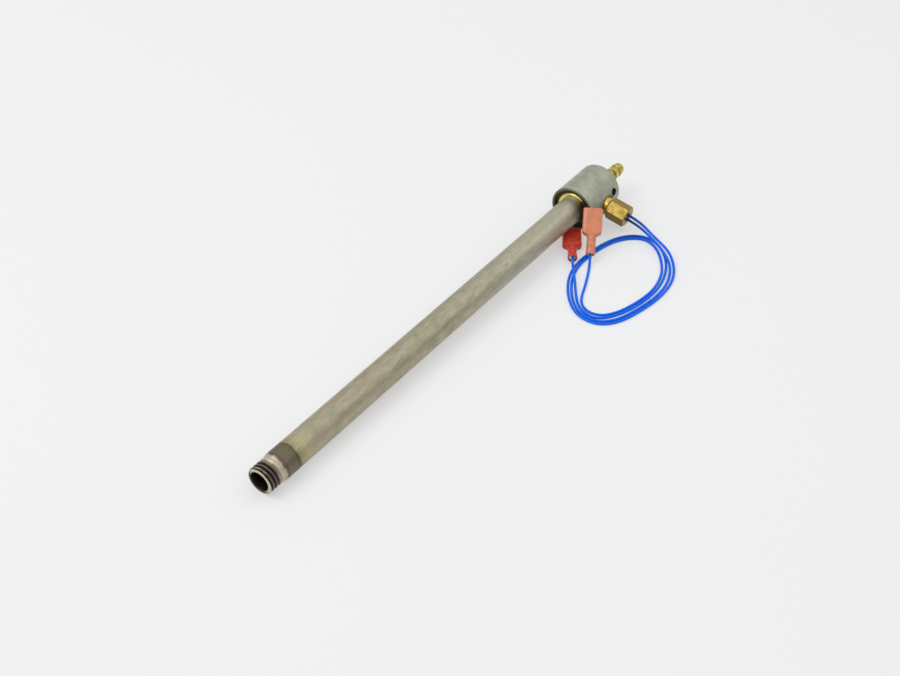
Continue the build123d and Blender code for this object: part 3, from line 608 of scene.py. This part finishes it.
LEAD_B_ROUTE = [
    (-0.0023, -0.0403, 0.0038), (-0.0073, -0.0504, 0.0030), (-0.0152, -0.0593, 0.0020),
    (-0.0266, -0.0641, 0.0007), (-0.0396, -0.0649, 0.0007), (-0.0522, -0.0629, 0.0007),
    (-0.0639, -0.0598, 0.0007), (-0.0712, -0.0551, 0.0007), (-0.0742, -0.0484, 0.0007),
    (-0.0718, -0.0394, 0.0007), (-0.0632, -0.0309, 0.0007), (-0.0514, -0.0239, 0.0007),
    (-0.0399, -0.0211, 0.0007), (-0.0306, -0.0215, 0.0007), (-0.0216, -0.0225, 0.0007),
    (-0.0120, -0.0252, 0.0007), (-0.0046, -0.0304, 0.0007), (-0.0012, -0.0371, 0.0007),
    (-0.0044, -0.0449, 0.0007), (-0.0122, -0.0522, 0.0007), (-0.0219, -0.0582, 0.0007),
    (-0.0341, -0.0610, 0.0007), (-0.0452, -0.0603, 0.0007), (-0.0546, -0.0583, 0.0007),
    (-0.0624, -0.0555, 0.0007), (-0.0681, -0.0513, 0.0007), (-0.0698, -0.0454, 0.0007),
    (-0.0674, -0.0398, 0.0007), (-0.0622, -0.0361, 0.0007), (-0.0536, -0.0329, 0.0007),
    (-0.0442, -0.0288, 0.0007),
]
EXIT_RUN = 7.0 * MM
CRIMP_INSET = 1.0 * MM


class Terminal:
    """Where a terminal came to rest: its wire end, its heading and its rise."""

    def __init__(self, end, heading, rise, entry_run):
        turn, lift = radians(heading), radians(rise)
        self.end = np.add(FLOOR_POINT, end)
        self.ahead = np.array([cos(lift) * cos(turn), cos(lift) * sin(turn), sin(lift)])
        self.across = np.array([-sin(turn), cos(turn), 0.0])
        self.upwards = np.cross(self.ahead, self.across)
        self.entry_run = entry_run

    def at(self, along, across=0.0, upwards=0.0):
        """Points from the terminal's own measures, arrays or numbers, in metres."""
        return (self.end + np.multiply.outer(along, self.ahead)
                + np.multiply.outer(across, self.across)
                + np.multiply.outer(upwards, self.upwards))


TERMINAL_A = Terminal((-0.0410, -0.0173, 0.0033), 33.5, -2.0, 7.5 * MM)
TERMINAL_B = Terminal((-0.0337, -0.0232, 0.0039), 31.0, 36.0, 5.3 * MM)


def terminal_sleeve(name, terminal, sizes, material, node):
    """Moulded terminal sleeve: a superellipse carried along its axis. Its half width, half height
    and squareness follow the station, from a flared round barrel over a smooth neck to the flat
    head, round the front edge and back along the tab's pocket and the wire's bore. Two smooth
    hollows in the barrel, above and below, are left by the crimping tool."""
    barrel, length = sizes.barrel_radius / MM, sizes.sleeve_length / MM
    width, height = sizes.head_width / MM / 2, sizes.head_height / MM / 2
    head_start, neck_start = length - 12.4, length - 15.0
    neck = np.linspace(0, 1, 9)
    eased = neck * neck * (3 - 2 * neck)
    slim = barrel - 0.14
    stem = np.linspace(2.0, neck_start - 0.3, 30)
    outer = [(0.0, barrel - 0.35, barrel - 0.35, 2.0), (0.1, barrel - 0.12, barrel - 0.12, 2.0),
             (0.35, barrel, barrel, 2.0), (1.3, barrel, barrel, 2.0)]
    outer += [(x, slim, slim, 2.0) for x in stem]
    outer += [(neck_start + 2.6 * t, slim + (width - slim) * e, slim + (height - slim) * e,
               2.0 + 3.0 * e) for t, e in zip(neck, eased)]
    outer += [(head_start + 3.0, width, height, 5.0), (length - 3.0, width, height, 5.0)]
    outer += [(length - 0.5 + 0.5 * sin(a), width - 0.5 * (1 - cos(a)),
               height - 0.5 * (1 - cos(a)), 5.0) for a in np.linspace(0, pi / 2, 6)]
    inner = [(length, 4.0, 1.45, 5.0), (length - 0.15, 3.92, 1.37, 5.0),
             (length - 0.5, 3.9, 1.35, 5.0), (length - 11.4, 3.9, 1.35, 5.0),
             (length - 11.45, 1.75, 1.3, 2.2), (length - 12.5, 1.75, 1.75, 2.0),
             (1.0, 1.75, 1.75, 2.0), (0.15, 2.0, 2.0, 2.0)]
    stations = np.array(outer + inner)
    angle = np.linspace(0, 2 * pi, 96, endpoint=False)
    along, half_width, half_height, square = (column[:, None] for column in stations.T)
    across = half_width * np.sign(np.cos(angle)) * np.abs(np.cos(angle)) ** (2 / square)
    upwards = half_height * np.sign(np.sin(angle)) * np.abs(np.sin(angle)) ** (2 / square)
    crimps = np.exp(-((along - 3.6) / 0.8) ** 2) + np.exp(-((along - 6.6) / 0.8) ** 2)
    crimps[len(outer):] = 0
    upwards *= 1 - 0.13 * crimps * np.abs(np.sin(angle)) ** 3
    grid = (terminal.end + MM * (along[..., None] * terminal.ahead
            + across[..., None] * terminal.across + upwards[..., None] * terminal.upwards))
    return finished(surface(name, grid), material, [node])


def lead_curve(name, exit_z, route, terminal, sizes, material):
    """Lead as one smooth curve: out of the grommet, round its loops and into its terminal."""
    nose = lie([(GLAND_AXIS, -NUT_END, exit_z), (GLAND_AXIS, -NUT_END - EXIT_RUN / MM, exit_z)])
    entry = [terminal.at(-terminal.entry_run), terminal.at(CRIMP_INSET)]
    points = np.vstack([nose, np.add(FLOOR_POINT, route), entry])
    curve = bpy.data.curves.new(name, "CURVE")
    curve.dimensions = "3D"
    curve.resolution_u = 12
    curve.bevel_depth = sizes.wire_radius
    curve.bevel_resolution = 4
    curve.use_fill_caps = True
    spline = curve.splines.new("NURBS")
    spline.points.add(len(points) - 1)
    spline.points.foreach_set("co", np.hstack([points, np.ones((len(points), 1))]).ravel())
    spline.order_u = 3
    spline.use_endpoint_u = True
    obj = bpy.data.objects.new(name, curve)
    bpy.context.scene.collection.objects.link(obj)
    return finished(obj, material), tuple(points[0])


class IGNITER_OT_leads(bpy.types.Operator):
    """The two leads, each with its terminal"""

    bl_idname = "igniter.leads"
    bl_label = "Leads and terminals"

    def execute(self, context):
        sizes, looks = context.scene.igniter_leads, context.scene.igniter_looks
        covering = insulation_finish(looks)
        tin = wire_metal_finish("tinned strip", (0.55, 0.54, 0.5), (0.8, 0.79, 0.76), 0.3)
        runs = (("a", NOSE_SPACING / 2, LEAD_A_ROUTE, TERMINAL_A, looks.nylon_a, 0.342),
                ("b", -NOSE_SPACING / 2, LEAD_B_ROUTE, TERMINAL_B, looks.nylon_b, 0.326))
        for side, exit_z, route, terminal, colour, length in runs:
            nylon = nylon_finish(f"nylon of terminal {side}", tuple(colour),
                                 tuple(0.82 * c for c in colour))
            sleeve = terminal_sleeve(f"moulded_sleeve_{side}", terminal, sizes, nylon,
                                     f"terminal_sleeve_{side}")
            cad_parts[f"terminal_contact_{side}"].data.materials[0] = tin
            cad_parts[f"lead_tail_{side}"].data.materials[0] = covering
            lead, exit_at = lead_curve(f"lead_{side}", exit_z, route, terminal, sizes, covering)
            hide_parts(f"lead_wire_{side}")
        return {"FINISHED"}


class IGNITER_OT_pipe(bpy.types.Operator):
    """The pipe, with its outlet thread cut for real"""

    bl_idname = "igniter.pipe"
    bl_label = "Pipe"

    def execute(self, context):
        sizes = context.scene.igniter_pipe
        crest, bore = sizes.crest_radius / MM, sizes.bore_radius / MM
        outer, pitch, depth = sizes.pipe_radius / MM, sizes.thread_pitch / MM, sizes.thread_depth / MM
        # Profile: face and thread, run-out, plain pipe, hidden rear end, bore with its groove
        thread_x = np.linspace(0.0, THREAD_END + 0.6, 96)
        runout_x = np.linspace(THREAD_END + 0.8, SHOULDER, 6)
        plain_x = np.linspace(SHOULDER + 0.3, BUSHING_SHOULDER, 60)
        back = [(BUSHING_SHOULDER, crest), (PIPE_END - 0.6, crest), (PIPE_END, crest - 0.6),
                (PIPE_END, bore)]
        groove = [(GROOVE_END, bore), (GROOVE_END, bore + GROOVE_DEPTH),
                  (GROOVE_START, bore + GROOVE_DEPTH), (GROOVE_START, bore), (0.45, bore),
                  (0.12, bore + 0.1), (0.0, bore + 0.4)]
        cone = crest + (outer - crest) * np.clip((runout_x - THREAD_END) / (SHOULDER - THREAD_END), 0, 1)
        x = np.concatenate([thread_x, runout_x, plain_x, [p[0] for p in back + groove]])
        r = np.concatenate([np.full(len(thread_x), crest), cone, np.full(len(plain_x), outer),
                            [p[1] for p in back + groove]])
        angle = np.linspace(0, 2 * pi, 144, endpoint=False)
        # Thread: its depth is a rounded triangle wave of the place along the helix
        turn = x[:, None] / pitch + angle / (2 * pi) + THREAD_PHASE
        wave = 1 - np.abs(2 * (turn - np.floor(turn)) - 1)
        root = np.clip(1.25 * wave - 0.12, 0, 1)
        fade = np.clip((THREAD_END + 0.6 - x) / 4.0, 0, 1) * np.clip((x - 0.15) / 0.4, 0, 1)
        fade[len(thread_x):] = 0
        radius = r[:, None] - depth * root * fade[:, None]
        chamfer = crest - 0.6 + 1.0 * x[:len(thread_x)]
        radius[:len(thread_x)] = np.minimum(radius[:len(thread_x)], chamfer[:, None])
        grid = np.stack([np.broadcast_to(x[:, None], radius.shape), radius * np.sin(angle),
                         radius * np.cos(angle)], axis=-1)
        uv = np.stack([np.broadcast_to(angle / (2 * pi), radius.shape),
                       np.broadcast_to(x[:, None] / PIPE_END, radius.shape)], axis=-1)
        pipe = surface("scaled_pipe", lie(grid), uv, root * fade[:, None])
        finished(pipe, pipe_finish(context.scene.igniter_looks), ["sheath_pipe"])
        return {"FINISHED"}


class IGNITER_OT_housing(bpy.types.Operator):
    """The housing, its bushing and its seals"""

    bl_idname = "igniter.housing"
    bl_label = "Housing"

    def execute(self, context):
        looks = context.scene.igniter_looks
        finished(smooth_copy("plated_housing", "housing", 30, 0.12), housing_finish(looks),
                 ["housing"])
        finished(smooth_copy("turned_bushing", "pipe_bushing", 30, 0.1),
                 bushing_finish(looks), ["pipe_bushing"])
        fibre = fibre_finish()
        finished(smooth_copy("pressed_seal", "bushing_seal", 30, 0.08), fibre,
                 ["bushing_seal"])
        finished(smooth_copy("pressed_washer", "nipple_seal", 30, 0.08), fibre,
                 ["nipple_seal"])
        return {"FINISHED"}


class IGNITER_OT_brass(bpy.types.Operator):
    """The gland, its nut and grommet, and the air nipple"""

    bl_idname = "igniter.brass"
    bl_label = "Gland and nipple"

    def execute(self, context):
        looks = context.scene.igniter_looks
        # Painted shade on the gland's and the nut's faces that look down and towards the outlet.
        shaded_side = ((-0.95, 0, -0.3), 0.7)
        # dull: the same brass darkened for the nut, a shaded copy, as painted shade.
        bright, dull = tuple(looks.brass), tuple(0.54 * c for c in looks.brass)
        finished(smooth_copy("gland_collar", "gland_body", 30, 0.12),
                 brass_finish("gland brass", bright, 0.5, *shaded_side), ["gland_body"])
        finished(smooth_copy("hex_nut", "gland_nut", 25, 0.12),
                 brass_finish("nut brass", dull, 0.5, *shaded_side), ["gland_nut"])
        finished(smooth_copy("barbed_nipple", "inlet_nipple", 25, 0.08),
                 brass_finish("nipple brass", tuple(looks.bright_brass), 0.7),
                 ["inlet_nipple"])
        finished(smooth_copy("rubber_plug", "gland_grommet", 30, 0.08), rubber_finish(),
                 ["gland_grommet"])
        return {"FINISHED"}


class IGNITER_OT_heater(bpy.types.Operator):
    """Finishes of the heater inside the pipe"""

    bl_idname = "igniter.heater"
    bl_label = "Heater"

    def execute(self, context):
        ceramic = ceramic_finish()
        nickel = wire_metal_finish("nickel rod", (0.42, 0.4, 0.36), (0.66, 0.63, 0.57), 0.38)
        alloy = wire_metal_finish("oxidised heating ribbon", (0.12, 0.11, 0.1), (0.3, 0.28, 0.26),
                                  0.55)
        finishes = {
            ceramic: ("front_spacer", "ceramic_core", "ceramic_liner", "rear_spacer",
                      "lead_insulator", "insulator_support"),
            nickel: ("lead_rod_a", "lead_rod_b", "splice_a", "splice_b"),
            alloy: ("heating_coil",),
            dark_steel_finish(): ("retaining_ring",),
        }
        for material, nodes in finishes.items():
            for node in nodes:
                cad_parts[node].data.materials[0] = material
        return {"FINISHED"}


class IGNITER_OT_stage(bpy.types.Operator):
    """Floor, light and camera"""

    bl_idname = "igniter.stage"
    bl_label = "Stage"

    def execute(self, context):
        scene, looks = context.scene, context.scene.igniter_looks
        paper = floor_finish(looks)
        mesh = bpy.data.meshes.new("floor")
        half = 4.0
        mesh.from_pydata([(-half, -half, 0), (half, -half, 0), (half, half, 0), (-half, half, 0)],
                         [], [(0, 1, 2, 3)])
        floor = bpy.data.objects.new("floor", mesh)
        mesh.materials.append(paper)
        scene.collection.objects.link(floor)
        scene.world = studio_sky()
        for name, place, size, power in (("key", (-0.5, 0.5, 1.1), 0.9, 5.0),
                                         ("fill", (0.9, -0.6, 1.0), 1.0, 1.0)):
            data = bpy.data.lights.new(name, "AREA")
            data.shape = "DISK"
            data.size = size
            data.energy = power
            light = bpy.data.objects.new(name, data)
            light.location = place
            light.rotation_euler = (-Vector(place)).to_track_quat("-Z", "Y").to_euler()
            scene.collection.objects.link(light)
        data = bpy.data.cameras.new("camera")
        data.sensor_width = 36.0
        data.lens = 54.12
        data.clip_start, data.clip_end = 0.01, 20.0
        camera = bpy.data.objects.new("camera", data)
        ahead = Vector((0.618762, 0.447674, -0.645540))
        up = Vector((0.512483, 0.392769, 0.763605))
        right = ahead.cross(up)
        turn = Matrix((right, up, -ahead)).transposed().to_4x4()
        camera.matrix_world = Matrix.Translation((-0.406878, -0.280404, 0.409296)) @ turn
        scene.collection.objects.link(camera)
        scene.camera = camera
        scene.view_settings.view_transform = "Standard"
        return {"FINISHED"}


class IGNITER_PT_panel(bpy.types.Panel):
    """Lists the sizes, the colours and the steps"""

    bl_idname = "IGNITER_PT_panel"
    bl_label = "Igniter"
    bl_space_type = "VIEW_3D"
    bl_region_type = "UI"
    bl_category = "Igniter"

    def draw(self, context):
        for group in ("igniter_pipe", "igniter_leads", "igniter_looks"):
            settings = getattr(context.scene, group)
            for name in settings.__annotations__:
                self.layout.prop(settings, name)
        for operator in OPERATORS:
            self.layout.operator(operator.bl_idname)


GROUPS = {"igniter_pipe": PipeSizes, "igniter_leads": LeadSizes, "igniter_looks": Looks}
OPERATORS = (IGNITER_OT_stage, IGNITER_OT_leads, IGNITER_OT_pipe, IGNITER_OT_housing,
             IGNITER_OT_brass, IGNITER_OT_heater)


def register():
    for group in GROUPS.values():
        bpy.utils.register_class(group)
    for name, group in GROUPS.items():
        setattr(bpy.types.Scene, name, PointerProperty(type=group))
    for operator in OPERATORS:
        bpy.utils.register_class(operator)
    bpy.utils.register_class(IGNITER_PT_panel)


def unregister():
    bpy.utils.unregister_class(IGNITER_PT_panel)
    for operator in reversed(OPERATORS):
        bpy.utils.unregister_class(operator)
    for name in GROUPS:
        delattr(bpy.types.Scene, name)
    for group in GROUPS.values():
        bpy.utils.unregister_class(group)


def main():
    register()
    bpy.ops.igniter.stage()
    bpy.ops.igniter.leads()
    bpy.ops.igniter.pipe()
    bpy.ops.igniter.housing()
    bpy.ops.igniter.brass()
    bpy.ops.igniter.heater()
    bpy.context.view_layer.update()


if __name__ == "__main__":
    main()
